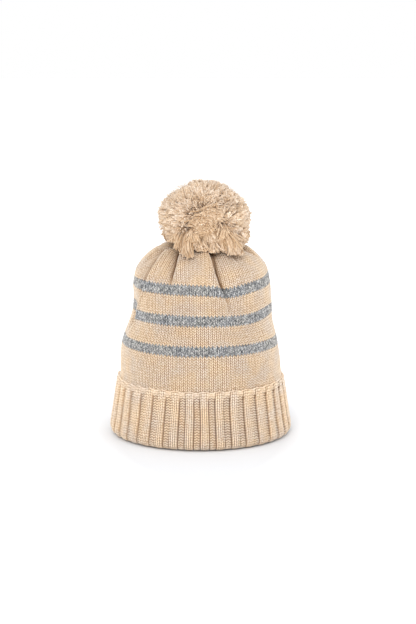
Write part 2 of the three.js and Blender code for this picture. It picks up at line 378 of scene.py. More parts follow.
# Folds down the wall, where one panel tucks in under its neighbour. At each height: where the fold lies
# and which wale lies in it, both in degrees, and its depth. Then the side that goes under, 1 for the right
# of the fold and -1 for the left, and how far it is taken in.
CREASES = [
    # the long fold right of the middle, which dies out under the middle stripe
    ([106, 120, 131, 137, 144, 149, 156, 165, 174],
     [29, 25, 22.5, 21.8, 20.5, 18, 16, 14.3, 14],
     [28, 25, 23, 22.6, 21.5, 19.3, 17.5, 16.3, 16],
     [0, 0.6, 1.8, 3.2, 4.8, 5.8, 6.6, 7.2, 7.2], 1, 6.0),
    # its shorter partner left of the middle
    ([138, 146, 153, 164, 174], [-25, -25, -25.3, -26, -29.5], [-26, -26, -25.5, -25, -26],
     [0, 1.6, 4.4, 6.6, 7.0], -1, 5.0),
    # the left shoulder: the front panel's edge, with the side tucked in behind it
    ([94, 101, 107, 114, 121, 129, 137, 145, 154, 164, 172],
     [-78, -74, -71, -68, -66, -62, -57, -54, -52, -51, -52],
     [-78, -76, -74, -72, -70, -66, -61, -58, -56, -55, -56],
     [0, 1.4, 3.2, 4.4, 4.4, 4.0, 4.4, 5.2, 5.8, 6.2, 6.2], -1, 20.0),
    # a pucker on the right shoulder
    ([163, 168, 171, 174], [82, 80, 78, 76], [82, 80, 78, 76], [0, 1.4, 2.8, 3.6], -1, 6.0),
    # small tucks at the rim
    ([162, 168, 174], [42, 41, 40], [43, 43, 43], [0, 1.6, 3.0], 1, 4.5),
    ([160, 167, 174], [-76, -75, -74], [-76, -75, -74], [0, 1.8, 3.4], 1, 3.5),
    # the sides and the back
    ([118, 138, 155, 165, 174], [104, 103, 101, 99, 98], [104, 104, 104, 104, 104],
     [0, 1.8, 3.2, 4.2, 4.6], 1, 6.0),
    ([136, 150, 165, 174], [140, 141, 139, 138], [142, 142, 142, 142], [0, 2.4, 4.2, 4.6], -1, 5.0),
    ([112, 130, 148, 165, 174], [-170, -168, -167, -166, -165], [-170, -170, -170, -170, -170],
     [0, 1.4, 2.8, 4.2, 4.8], 1, 5.0),
    ([136, 152, 165, 174], [-128, -128, -129, -130], [-127, -126, -125, -124],
     [0, 2.4, 4.2, 4.6], -1, 5.0),
]
FOLD_FADE = 24  # length beyond the rim in which the folds flatten out
PANEL_REACH = 17.0  # how far from a fold its wales are shifted
PLEAT_DRAW = 0.7  # cloth drawn into a fold from each side, as a share of its depth
DRAW_WIDTH = 4.6
FOLD_EDGE = 1.3  # width of the step down from the upper panel
LIP = 0.34  # how far the upper panel's edge stands out, as a share of the fold's depth
LIP_PLACE = 4.5  # distance of the lip's ridge from the fold
LIP_WIDTH = 3.2
CREVICE = 5.5  # depth of fold at which the shadow painted at its bottom is darkest
SHADOW_PLACE = 0.8  # distance under the fold of its darkest line
SHADOW_SHARE = 0.34  # of a fold's reach that is darkened
SHADOW_EDGE = 1.2  # width of the shadow on the upper panel
# strength of the shadow painted into the colour down the folds
PAINTED_FOLD_SHADOW = 0.85
# Soft pulls that shift the rows of stitches up or down: turn, its half width, height, its half height, rise.
PULLS = [(26, 17, 146, 17, -3.4), (40, 22, 114, 14, -1.2), (84, 24, 146, 17, 3.6), (84, 24, 114, 14, 3.0)]
# The tucked left side is pulled up behind the front panel, between these turns and about this height.
SIDE_RISE = 7.0
SIDE_FRONT, SIDE_FRONT_FADE = -74, 8
SIDE_BACK, SIDE_BACK_FADE = -130, 30
SIDE_LEVEL, SIDE_HALF_HEIGHT = 114, 18
GATHER_PLEATS = 15
GATHER_DEPTH = 2.0
GATHER_FROM = 8  # the small pleats begin this far before the rim
GATHER_FADE = 16
GATHER_RADIUS = 18  # of the crown inside which they fade again
# Slow swells of the soft cloth: depth, waves round the hat, slant and start.
SWELLS = [(0.7, 3, 0.05, 0.0), (0.5, 5, -0.09, 1.3), (0.35, 8, 0.13, 2.1)]
STILL_EDGE, SWELL_FADE = 8, 25  # swells begin this far up the wall, and reach their full depth in this length
ALONG_STEP = 0.5  # length over which the wall's slope is taken


def wrapped(angle):
    return (angle + np.pi) % FULL_TURN - np.pi


def bell(off, width):
    return np.exp(-((off / width) ** 2))


def outline_at(curve, lengths, along):
    """Radius and height of an outline at a length along it."""
    return np.interp(along, lengths, curve[:, 0]), np.interp(along, lengths, curve[:, 1])


def folded(turn, along, radius):
    """Turn at which a wale comes to lie between the folds, how far they take it in, and how much shadow is
    painted on it.
    """
    moved = np.zeros_like(turn)
    inward = np.zeros_like(turn)
    painted_fold_shadow = np.zeros_like(turn)
    near_rim = np.clip((RIM_AT + FOLD_FADE - along) / FOLD_FADE, 0, 1)
    for heights, turns, wales, depths, under_side, softness in CREASES:
        levels = wall_at_height(heights)
        spot = np.interp(along, levels, np.radians(turns))
        wale = np.interp(along, levels, np.radians(wales))
        depth = np.interp(along, levels, depths) * near_rim
        off = wrapped(turn - wale) * radius
        nearby = bell(off, PANEL_REACH)
        draw = PLEAT_DRAW * depth * np.tanh(off / DRAW_WIDTH) * nearby
        moved += (spot - wale) * nearby - draw / radius
        under = (off - draw) * under_side
        tucked = np.exp(-np.maximum(under, 0) / softness)
        edge = bell(np.minimum(under, 0), FOLD_EDGE)
        lip = LIP * bell(under + LIP_PLACE, LIP_WIDTH)
        inward += depth * (tucked * edge - lip)
        # Painted shadow, darkest just under the fold's edge and spread over the tucked side.
        shadow_width = np.where(under > SHADOW_PLACE, SHADOW_SHARE * softness, SHADOW_EDGE)
        painted_fold_shadow += (depth / CREVICE) ** 1.5 * bell(under - SHADOW_PLACE, shadow_width)
    return turn + moved, inward, np.clip(painted_fold_shadow, 0, 1)


def wall_point(turn, along):
    """Place on the outside of the wall for a stitch's turn round the hat and length along the wall."""
    radius, height = outline_at(wall_curve, wall_length, along)
    radius_on, height_on = outline_at(wall_curve, wall_length, along + ALONG_STEP)
    size = np.hypot(height_on - height, radius_on - radius) + 1e-9
    out, up = (height_on - height) / size, (radius - radius_on) / size

    angle, inward, _ = folded(turn, along, radius)
    gather_near = np.clip((along - RIM_AT + GATHER_FROM) / GATHER_FADE, 0, 1) ** 1.5
    drawn = gather_near * np.clip(radius / GATHER_RADIUS - 0.2, 0, 1)
    wave = 0.5 + 0.5 * np.cos(GATHER_PLEATS * turn + 0.7 * np.sin(2 * turn))
    inward += GATHER_DEPTH * drawn * wave**1.5
    swollen = np.clip((along - STILL_EDGE) / SWELL_FADE, 0, 1)
    inward += swollen * sum(depth * np.sin(waves * angle + slant * height + start)
                            for depth, waves, slant, start in SWELLS)

    degrees = np.degrees(wrapped(turn))
    from_front = np.clip((SIDE_FRONT - degrees) / SIDE_FRONT_FADE, 0, 1)
    from_back = np.clip((degrees - SIDE_BACK) / SIDE_BACK_FADE, 0, 1)
    lifted = SIDE_RISE * from_front * from_back * bell(height - SIDE_LEVEL, SIDE_HALF_HEIGHT)
    for middle, half_width, level, half_height, pull in PULLS:
        lifted += pull * bell(degrees - middle, half_width) * bell(height - level, half_height)
    return places_round(angle, radius - inward * out, height - inward * up + lifted)


def lifted_from(surface, turn, along, lift):
    """Point on a surface(turn, along), moved out by lift, and the surface's width per radian of turn."""
    small_turn, small_length = 1e-3, 0.05
    here = surface(turn, along)
    across = surface(turn + small_turn, along) - here
    upward = surface(turn, along + small_length) - surface(turn, along - small_length)
    normal = unit(np.cross(across, upward))
    return here + normal * lift[..., None], np.linalg.norm(across, axis=-1) / small_turn


# ---- plain knitting

# One wale is six columns of points: the gap beside it, two over each leg and the middle of the V.
COLUMN_RELIEF = np.array([0.0, 0.9, 1.0, 0.2, 1.0, 0.9])
COLUMNS = len(COLUMN_RELIEF)
COLUMN_RISE = np.abs(2 * np.arange(COLUMNS) / COLUMNS - 1)
# One course is three rows: where a leg comes out over the one below, its fullest place, and its end.
ROW_PLACES = np.array([0.0, 0.28, 0.66])
ROW_RELIEF = np.array([0.0, 1.0, 0.75])
OPEN_WALE = 3.0  # width from which a wale's stitches have their full relief
TIGHT_RELIEF = 0.2  # least share of it, in the narrow wales at the gather
CROWN_CALM = 0.2  # how far the crown's shading is evened out
GATHER_MARGIN = 1.5  # end of the wall that is left open in the middle of the crown
KNIT_NODES = ["lower_body_band", "stripe_lower", "body_band_above_lower_stripe", "stripe_middle",
              "body_band_above_middle_stripe", "stripe_upper", "crown"]


def rows_of(places, courses):
    """Places of all rows of points, in courses, from those of one course's rows. The last closes the band."""
    return np.append((np.arange(courses)[:, None] + places).ravel(), courses)


def over_courses(relief, courses):
    """Relief of all rows of points, from that of one course's rows."""
    return np.append(np.tile(relief, courses), relief[0])[:, None]


def knit_band(name, start, end, material, calm):
    """Closed band of plain knitting between two lengths along the wall: stitches outside, smooth inside."""
    courses = round((end - start) / COURSE)
    places = rows_of(ROW_PLACES, courses)
    rows = np.append(places, np.linspace(courses, 0, courses + 1))
    outside = (np.arange(len(rows)) < len(places))[:, None]
    columns = WALES * COLUMNS
    turn = FULL_TURN * np.arange(columns) / columns
    rise = SLANT * (np.tile(COLUMN_RISE, WALES) - 0.5)
    course = (end - start) / courses
    turn_grid, row_grid = np.meshgrid(turn, rows)
    along = start + (row_grid + rise) * course
    row_relief = np.concatenate([over_courses(ROW_RELIEF, courses), np.zeros((courses + 1, 1))])
    relief = row_relief * np.tile(COLUMN_RELIEF, WALES)
    _, spread = lifted_from(wall_point, turn_grid, along, np.zeros_like(along))
    wale_width = spread * FULL_TURN / WALES
    squeeze = np.clip(wale_width / OPEN_WALE, TIGHT_RELIEF, 1.0)
    lift = np.where(outside, STITCH_RELIEF * (relief * squeeze - 1), -STITCH_RELIEF - FABRIC)
    points, _ = lifted_from(wall_point, turn_grid, along, lift)
    # Shadow is painted into the colour down the folds.
    _, _, painted_fold_shadow = folded(turn_grid, along, outline_at(wall_curve, wall_length, along)[0])
    relief = relief + calm * (MIDDLE_SHADE - relief)
    shade = np.where(outside, relief, MIDDLE_SHADE) * (1 - PAINTED_FOLD_SHADOW * painted_fold_shadow)
    add_shell(name, points, material, shade, "knit_body")


def knit_body():
    start = 0.0
    for node in KNIT_NODES:
        is_crown = node == "crown"
        end = wall_length[-1] - GATHER_MARGIN if is_crown else wall_at_height(box_of(node)[1][2])
        yarn, slot = (grey_yarn, "grey_knit") if node.startswith("stripe") else (beige_yarn, "beige_knit")
        knit_band(node, start, end, yarn, CROWN_CALM if is_crown else 0.0)
        start = end


knit_body()


# ---- ribbed brim

# The cuff's middle surface as [radius, height], from the lip under the hat, round the fold, to its edge.
CUFF_OUTLINE = np.array([
    [70.5, 1.3], [75.0, 1.1], [79.5, 1.25], [82.4, 2.6], [83.8, 6.0], [83.1, 11.0], [81.7, 19.0],
    [79.9, 31.0], [78.3, 42.0], [76.6, 52.4],
])
CUFF_HEIGHT = 50  # height at which its swells and the lean of its ribs are fullest
CUFF_SWELLS = [(0.5, 3, 0.4), (0.35, 7, 1.9)]  # depth, waves round the hat and start of each
# Ribs wander sideways by this turn. Their waves rise this far in a radian, and shift by this round the hat.
RIB_LEAN, LEAN_HEIGHT, LEAN_SWAY = 0.006, 11, 2.4
CUFF_THICKNESS = 2.6
CUFF_RINGS = 12  # of points on its smooth inside
KNIT_SHARE = 0.54  # of a rib's width, the rest is purl
RIB_FLANK = 0.3  # how much lower a rib's sides lie than its ridge, and how much darker they are painted, as shade
PURL_CHANNEL = -0.85  # height of the purl wales in the rib's cross-section
DITCH_DEPTH, DITCH_PLACE, DITCH_WIDTH = 0.6, 1.08, 0.12  # where knit meets purl, its place from the ridge
RIB_STITCH = 1.15  # relief of the brim's looser stitches
STITCH_MIDDLE = 0.7  # relief that lies on the rib's cross-section
RIB_SLANT = 0.7  # rise of a knit leg, in courses
PURL_SLANT = 0.27  # rise and fall of a row of purl bumps, in courses
# Relief of the three rows of a course, on knit legs, in the gaps between them and on purl bumps.
LEG_RELIEF = np.array([0.35, 1.0, 0.85])
GAP_RELIEF = np.array([0.0, 0.35, 0.1])
PURL_RELIEF = np.array([0.0, 1.0, 0.4])
PURL_SIDE = 0.75  # beyond this share of its half width, a purl wale's bumps sink to PURL_SIDE_RELIEF
# It also paints them darker, as shade beside the ribs.
PURL_SIDE_RELIEF = 0.3
# Each purl channel ends in an arch below the edge: distance of its top, further drop at its sides.
ARCH_TOP, ARCH_DROP, ARCH_FADE = 2.2, 4.4, 1.3
ARCH_SECTION = 0.7  # height of the cross-section above the arch
ARCH_SHADE, ARCH_EVENING = 0.6, 0.75  # relief it is shaded with, and how far its bumps are evened out
FLAT_FOLD, FLAT_FADE = 8, 13  # length of the outline on which ribs are flat, and over which they rise
FLAT_RIB = 0.15
SCALLOP, SCALLOP_REACH = 0.6, 6  # rise of the edge over each knit rib, and how far down it is felt
INNER_SHADE = 0.6
# The edge's cord: its radius between loops and what a loop adds, the loops' slant, how much of the ribs it
# follows, how far it is set in, and for each ring of points its angle and how much further in it lies.
EDGE_BEAD, EDGE_LOOP, LOOP_SLANT, EDGE_RIB, EDGE_IN = 0.828, 0.46, 0.8, 0.3, 0.2
EDGE_RINGS = [(35, 0), (70, 0), (105, 0.3), (125, 1.6)]
EDGE_SHADES = (0.55, 0.35)  # between loops, and what a loop adds

cuff_curve = through(CUFF_OUTLINE)
cuff_length = lengths_along(cuff_curve)


def rib_columns(columns):
    """Fraction round a rib, and the wale's own column number, for every column of points."""
    wide = KNIT_SHARE / 2
    narrow = (1 - KNIT_SHARE) / 2
    starts = np.array([0, wide, 2 * wide, 2 * wide + narrow])
    widths = np.array([wide, wide, narrow, narrow])
    inside = np.arange(columns) / columns
    place = (starts[:, None] + widths[:, None] * inside).ravel()
    number = np.tile(np.arange(columns), 4)
    is_knit = np.repeat([True, True, False, False], columns)
    whole = (np.arange(RIBS)[:, None] + place).ravel() / RIBS
    return whole * FULL_TURN, np.tile(place, RIBS), np.tile(number, RIBS), np.tile(is_knit, RIBS)


def rib_ridge(place):
    """Distance from the middle of the knit rib, in half widths, and the ridge's height there."""
    off = np.abs((place - KNIT_SHARE / 2 + 0.5) % 1 - 0.5) / (KNIT_SHARE / 2)
    return off, 1 - RIB_FLANK * np.clip(off, 0, 1) ** 3


def rib_section(place):
    """Rib's cross-section: 1 on the knit ridge, lower in the purl channel and lowest where the two meet."""
    off, ridge = rib_ridge(place)
    return np.where(off < 1.0, ridge, PURL_CHANNEL) - DITCH_DEPTH * bell(off - DITCH_PLACE, DITCH_WIDTH)


def cuff_point(turn, along):
    radius, height = outline_at(cuff_curve, cuff_length, along)
    high = np.clip(height / CUFF_HEIGHT, 0, 1)
    swell = sum(depth * np.sin(waves * turn + start) for depth, waves, start in CUFF_SWELLS)
    lean = RIB_LEAN * np.sin(height / LEAN_HEIGHT + LEAN_SWAY * np.sin(4 * turn))
    return places_round(turn + lean * high, radius + high * swell, height)


def cuff_edge(turn, place, number, rise):
    """Rings of the cast-on edge: a cord of slanting loops, one to a wale, rising over each knit rib."""
    rings, shades = [], []
    end = np.full_like(turn, cuff_length[-1])
    for degrees, inward in EDGE_RINGS:
        angle = np.radians(degrees)
        loop = np.abs(np.sin(np.pi * number / COLUMNS - angle * LOOP_SLANT))
        bead = EDGE_BEAD + EDGE_LOOP * loop
        out = bead * np.cos(angle) + EDGE_RIB * rib_section(place) - EDGE_IN - inward
        ring, _ = lifted_from(cuff_point, turn, end, out)
        ring[..., 2] += bead * np.sin(angle) + rise
        rings.append(ring)
        shades.append(EDGE_SHADES[0] + EDGE_SHADES[1] * loop)
    return np.stack(rings), np.stack(shades)


def row_fade(rows, courses):
    """1 in the middle rows and 0 at the first and the last, where stitches lose their slant."""
    return np.clip((courses - rows) / 2, 0, 1) * np.clip(rows / 2, 0, 1)


def ribbed_cuff():
    turn, place, number, is_knit = rib_columns(COLUMNS)
    end = cuff_length[-1]
    courses = round(end / COURSE)
    course = end / courses
    places = rows_of(ROW_PLACES, courses)
    knit_slant = -RIB_SLANT * (COLUMN_RISE[number] - 0.5)
    purl_slant = PURL_SLANT * np.cos(FULL_TURN * number / COLUMNS)
    turn_grid, row_grid = np.meshgrid(turn, places)
    slant = np.where(is_knit, knit_slant, purl_slant) * row_fade(row_grid, courses)
    along = (row_grid + slant) * course
    from_edge = end - along

    section = rib_section(place)
    purl_off = np.abs(place - (1 + KNIT_SHARE) / 2) / ((1 - KNIT_SHARE) / 2)
    arch = ARCH_TOP + ARCH_DROP * (1 - np.sqrt(np.clip(1 - purl_off**2, 0, 1)))
    closed = np.clip(1 - (from_edge - arch) / ARCH_FADE, 0, 1)
    channel = np.where(section < ARCH_SECTION, section * (1 - closed) + ARCH_SECTION * closed, section)

    legs = over_courses(LEG_RELIEF, courses)
    gaps = over_courses(GAP_RELIEF, courses)
    # The rib's sides are painted darker, as shade, as well as lying lower.
    knit_relief = np.where(number % 3 == 0, gaps, legs) * rib_ridge(place)[1]
    relief = np.where(is_knit, knit_relief, over_courses(PURL_RELIEF, courses))
    # Beside the ribs, the purl bumps lie lower and are painted darker, as shade.
    relief = relief * np.where(~is_knit & (purl_off > PURL_SIDE), PURL_SIDE_RELIEF, 1.0)
    flat_below = np.clip((along - FLAT_FOLD) / FLAT_FADE, FLAT_RIB, 1)
    lift = RIB_RELIEF * channel * flat_below + RIB_STITCH * (relief - STITCH_MIDDLE)
    points, _ = lifted_from(cuff_point, turn_grid, along, lift)
    rise = SCALLOP * np.cos(FULL_TURN * (place - KNIT_SHARE / 2))
    points[..., 2] += np.clip(1 - from_edge / SCALLOP_REACH, 0, 1) * rise

    edge, edge_shade = cuff_edge(turn, place, number, rise)
    turn_inner, place_inner = np.meshgrid(turn, np.linspace(courses, 0, CUFF_RINGS + 1)[1:])
    depth = np.full_like(turn_inner, -CUFF_THICKNESS)
    inner, _ = lifted_from(cuff_point, turn_inner, place_inner * course, depth)
    grid = np.concatenate([points, edge, inner])
    grid[..., 2] = np.maximum(grid[..., 2], 0.0)
    arched = np.where(is_knit, relief, relief + ARCH_EVENING * (ARCH_SHADE - relief) * closed)
    shade = np.concatenate([arched, edge_shade, np.full_like(turn_inner, INNER_SHADE)])
    add_shell("turn_up_cuff", grid, rib_yarn, shade, "cuff")


# The inner band's coarser knitting: relief of a wale's four columns and of a course's two rows.
BAND_COLUMNS = np.array([0.0, 0.9, 0.35, 0.9])
BAND_ROWS = np.array([0.1, 1.0])
BAND_ROW_PLACES = [0.0, 0.45]
PURL_SHARE = 0.9  # relief of its purl wales
BAND_RIB, BAND_STITCH, BAND_MIDDLE = 0.84, 0.64, 0.6  # relief of its ribs and stitches, and their middle
BAND_GAP = 0.3  # between its top and the plain knitting
BAND_RINGS = 9  # of points on its smooth inside
BAND_THICKNESS = 2.68


def inner_band():
    columns_each = len(BAND_COLUMNS)
    turn, place, number, is_knit = rib_columns(columns_each)
    low, high = box_of("inner_ribbed_band")
    outer = high[0] - STITCH_RELIEF / 2
    top = WALL_OUTLINE[0][1] - BAND_GAP
    courses = round((top - low[2]) / COURSE)
    course = (top - low[2]) / courses
    places = rows_of(BAND_ROW_PLACES, courses)
    rows = over_courses(BAND_ROWS, courses)
    rise = SLANT * (np.abs(2 * number / columns_each - 1) - 0.5)
    turn_grid, row_grid = np.meshgrid(turn, places)
    height = low[2] + (row_grid + rise * row_fade(row_grid, courses)) * course
    relief = np.where(is_knit, rows * BAND_COLUMNS[number], rows * PURL_SHARE)
    radius = outer - BAND_RIB * (1 - rib_section(place)) + BAND_STITCH * (relief - BAND_MIDDLE)
    turn_inner, height_inner = np.meshgrid(turn, np.linspace(top, low[2], BAND_RINGS))
    radius_inner = np.full_like(turn_inner, outer - BAND_THICKNESS)
    inside = places_round(turn_inner, radius_inner, height_inner)
    grid = np.concatenate([places_round(turn_grid, radius, height), inside])
    shade = np.concatenate([relief, np.full_like(turn_inner, MIDDLE_SHADE)])
    add_shell("inner_ribbed_band", grid, rib_yarn, shade, "knit_body")


ribbed_cuff()
inner_band()


# ---- strands and cords

GROOVE = 0.16  # depth of the groove between a strand's two plies, as a share of its radius
GROOVE_SHADE = 0.15
TIP_LIGHT = 0.1  # painted light: how much lighter a strand's cut tip is
DARK_DEPTH, DARK_FADE = 0.5, 0.45  # where strands begin to be lit, and over what depth they become so
CORD_END_SHADE = 0.8
PLY_PLACE, PLY_RADIUS = 0.5, 0.52  # a ply's distance from the middle of its cord and its size, in radii


def frames_along(paths):
    """Normal and binormal at each point of many paths, shaped (paths, points, 3)."""
    tangent = unit(np.gradient(paths, axis=1))
    chord = paths[:, -1] - paths[:, 0]
    steep = np.abs(chord[:, 2:3]) > np.abs(chord[:, :1])
    helper = np.cross(chord, np.where(steep, [[1.0, 0, 0]], [[0, 0, 1.0]]))
    normal = unit(np.cross(tangent, helper[:, None, :]))
    return normal, np.cross(tangent, normal)


def strand_piece(name, paths, radius, node, twists=0.0, depth=1.0, tone_and_shade=1.0, sides=5, dome=0.35):
    """Two-ply yarn along each of many paths, closed at both ends, with the plies' groove winding round it.

    depth is 0 for points in the middle of the pom and 1 at its surface. Shade is painted on the strands by
    depth, darker deeper in, and by each strand's own tone and painted shade.
    """
    count, steps, _ = paths.shape
    twists, tone_and_shade = np.broadcast_to(twists, count), np.broadcast_to(tone_and_shade, count)
    normal, binormal = frames_along(paths)
    gaps = np.linalg.norm(np.diff(paths, axis=1), axis=-1)
    travelled = np.concatenate([np.zeros((count, 1)), np.cumsum(gaps, axis=1)], axis=1)
    turned = FULL_TURN * travelled / STRAND_TWIST + twists[:, None]
    side = FULL_TURN * np.arange(sides) / sides
    lobe = np.cos(2 * (side[None, None, :] - turned[..., None]))
    reach = radius[..., None] * (1 + GROOVE * lobe)
    ring = (normal[:, :, None, :] * (np.cos(side) * reach)[..., None]
            + binormal[:, :, None, :] * (np.sin(side) * reach)[..., None])
    # Painted shade: strands darken deeper in the pom and along the plies' groove, times each strand's tone
    # and painted shade.
    lit = np.clip((depth - DARK_DEPTH) / DARK_FADE, 0, 1)[..., None]
    shade = lit * (1 - GROOVE_SHADE + GROOVE_SHADE * lobe) * tone_and_shade[:, None, None]
    ahead = unit(paths[:, -1] - paths[:, -2])
    hubs = np.stack([paths[:, 0], paths[:, -1] + ahead * dome], axis=1)
    # The root's end is painted in full shade, the cut tip with painted light.
    hub_shade = np.stack([np.zeros(count), np.clip(tone_and_shade + TIP_LIGHT, 0, 1)], axis=1)
    points = np.concatenate([(paths[:, :, None, :] + ring).reshape(count, -1, 3), hubs], axis=1)
    relief = np.concatenate([shade.reshape(count, -1), hub_shade], axis=1)
    first = points.shape[1] * np.arange(count)[:, None, None]
    faces = (first + capped_tube_faces(steps, sides)).reshape(-1, 3)
    return add_piece(name, points.reshape(-1, 3), faces, pom_yarn, relief, "pom", node)


def cord_piece(name, path, radius, reference, body, node, closed=False, plies=3, lay=6.0, sides=8):
    """Cord of twisted plies along a path. reference is a direction that the path never follows."""
    rows = len(path)
    ahead = np.roll(path, -1, axis=0) - np.roll(path, 1, axis=0) if closed else np.gradient(path, axis=0)
    normal = unit(np.cross(ahead, reference))
    binormal = unit(np.cross(ahead, normal))
    travelled = lengths_along(np.vstack([path, path[:1]]) if closed else path)
    total = travelled[-1]
    turns = max(round(total / lay), 1)
    side = FULL_TURN * np.arange(sides) / sides
    ring = normal[:, None, :] * np.cos(side)[:, None] + binormal[:, None, :] * np.sin(side)[:, None]
    faces = halved(looped_grid_faces(rows, sides)) if closed else capped_tube_faces(rows, sides)
    all_points, all_faces, all_relief = [], [], []
    for ply in range(plies):
        angle = FULL_TURN * (turns * travelled[:rows] / total + ply / plies)
        out = normal * np.cos(angle)[:, None] + binormal * np.sin(angle)[:, None]
        middle = path + out * radius * PLY_PLACE
        points = (middle[:, None, :] + ring * radius * PLY_RADIUS).reshape(-1, 3)
        # Painted shade: each ply is darker where it faces into the cord and lighter where it faces out.
        relief = (0.5 + 0.5 * np.sum(ring * out[:, None, :], axis=-1)).ravel()
        if not closed:
            points = np.concatenate([points, middle[:1], middle[-1:]])
            relief = np.append(relief, [CORD_END_SHADE, CORD_END_SHADE])
        all_faces.append(faces + ply * len(points))
        all_points.append(points)
        all_relief.append(relief)
    add_piece(name, np.concatenate(all_points), np.concatenate(all_faces), cord_yarn,
              np.concatenate(all_relief), body, node)


# ---- pom

POM_SEED = 2
random = np.random.default_rng(POM_SEED)
left_low, _ = box_of("pom_left_half")
right_low, right_high = box_of("pom_right_half")
POM_MIDDLE, TIE_HALF = middle_and_half("pom_tie_cord")
POM_HALF = np.array([(right_high[0] - left_low[0]) / 2, (right_high[1] - right_low[1]) / 2,
                     right_high[2] - POM_MIDDLE[2]])
STRANDS = 8600
STRAND_STEPS = 8
FILLERS = 2200  # shorter strands in between, which close the gaps
CLUMPS = 520  # little locks that the tips gather into
CLUMPING = 0.35
CLUMP_ANGLE = 4.5  # half width of a lock, in degrees
LOCK_DARKNESS = 0.4  # painted shade: how much darker strands are at the side of their lock
BARE_ANGLE = 19.0  # few tips end nearer to a hollow than this, in degrees
DIMPLE, DIMPLE_ANGLE = 0.3, 14  # how far the ball dips at a hollow, and its width in degrees
BALL_REACH = 0.97
# Range of each tuft's random tone, low enough that the hanging tufts are also painted darker, as shade.
TUFT_TONE_AND_SHADE = (0.4, 0.8)
TONE_SPREAD = (0.58, 1.15)  # of single strands
CRIMP, CRIMP_WAVES = 0.7, 1.6  # depth of a strand's waves at its tip, and their number
STRAND_JITTER = 0.12
CROWN_CLEARANCE = (2.4, 4.0)
NOD_ROOM = 0.15  # extra height for each mm off both of the pom's hinge lines
CROWN_REACH = 60  # distance from the axis within which strands are kept off the crown
LOW_STRANDS = -0.42  # strands whose tips are lower than this give way to the crown
FIBRES = 5000  # loose fibres, none lower than FUZZ_FROM
FUZZ_FROM = -0.3
FIBRE_RADIUS = 0.09
FIBRE_LENGTHS = (2.0, 5.5)
WAIST_STRANDS = 90
WAIST_SQUEEZE = 0.1

# Hollows where the strands part and fan out: turn and elevation in degrees, how far the strands come
# from the hollow (1) and not from the middle of the pom (0), and how far round it they are drawn from.
HOLLOWS = [
    (-20, 17, 0.92, 40), (-23, -13, 0.92, 36), (26, -7, 0.9, 36), (-4, 30, 0.85, 34), (40, 30, 0.25, 14),
    (3, -4, 0.6, 2), (8, -42, 0.6, 0), (150, 26, 0.8, 10), (-148, 18, 0.8, 10), (178, -18, 0.8, 10),
    (120, -24, 0.7, 0), (-112, -30, 0.7, 0), (180, 58, 0.6, 6), (62, -44, 0.6, 0), (-58, -48, 0.6, 0),
]
# Tufts lying over the rest: turn and elevation of the root and of the tip, reach, spread, strands.
TUFTS = [
    (-22, -12, -16, -35, 1.42, 6, 90), (-32, -14, -27, -34, 1.3, 6, 80), (-4, -22, 0, -33, 1.22, 7, 90),
    (10, -18, 12, -34, 1.29, 6, 80), (22, -10, 25, -35, 1.3, 6, 80), (32, -8, 36, -35, 1.42, 8, 120),
    (42, -14, 48, -32, 1.2, 9, 100), (-38, -12, -46, -33, 1.08, 8, 110), (-7, -24, -6, -33, 1.2, 6, 70),
    (6, -10, 10, -24, 1.12, 8, 90), (-14, -6, -12, -26, 1.14, 8, 90), (30, -4, 26, -22, 1.1, 8, 90),
    (22, 10, 4, -14, 0.98, 14, 110), (-14, 14, 8, 6, 0.97, 14, 110), (2, 2, 16, -24, 0.99, 14, 100),
    (-6, -6, -16, -34, 1.0, 12, 90), (0, 26, 14, 12, 0.98, 14, 90), (10, 16, -6, 0, 0.97, 14, 100),
    (16, -2, -4, -12, 1.0, 14, 80), (-8, 4, 6, -16, 1.0, 14, 80), (24, 24, 12, 14, 0.97, 14, 80),
    (160, -14, 168, -35, 1.17, 12, 160), (-140, -12, -132, -33, 1.15, 12, 160),
    (118, -10, 108, -32, 1.1, 12, 150), (-100, -14, -96, -35, 0.96, 10, 120),
    (86, -16, 84, -34, 1.0, 11, 130), (-168, -18, -160, -38, 1.17, 11, 150),
    (66, -14, 68, -32, 1.08, 11, 130), (-66, -14, -68, -36, 0.95, 10, 110),
]


def direction(turn, elevation):
    turn, elevation = np.radians(turn), np.radians(elevation)
    return places_round(turn, np.cos(elevation), np.sin(elevation))


def degrees_apart(cosine):
    return np.degrees(np.arccos(np.clip(cosine, -1, 1)))


def even_directions(count):
    """Evenly spread directions over the ball, on a golden-angle spiral."""
    index = np.arange(count) + 0.5
    up = 1 - 2 * index / count
    around = GOLDEN_TURN * index
    flat = np.sqrt(1 - up**2)
    return np.stack([flat * np.cos(around), flat * np.sin(around), up], axis=-1)


def bezier(first, second, third, last):
    t = np.linspace(0, 1, STRAND_STEPS)[None, :, None]
    return ((1 - t) ** 3 * first[:, None] + 3 * t * (1 - t) ** 2 * second[:, None]
            + 3 * t**2 * (1 - t) * third[:, None] + t**3 * last[:, None])


def crown_height(distance):
    """Height of the crown's top at a distance from the hat's axis."""
    return np.interp(distance, wall_curve[::-1, 0], wall_curve[::-1, 1])


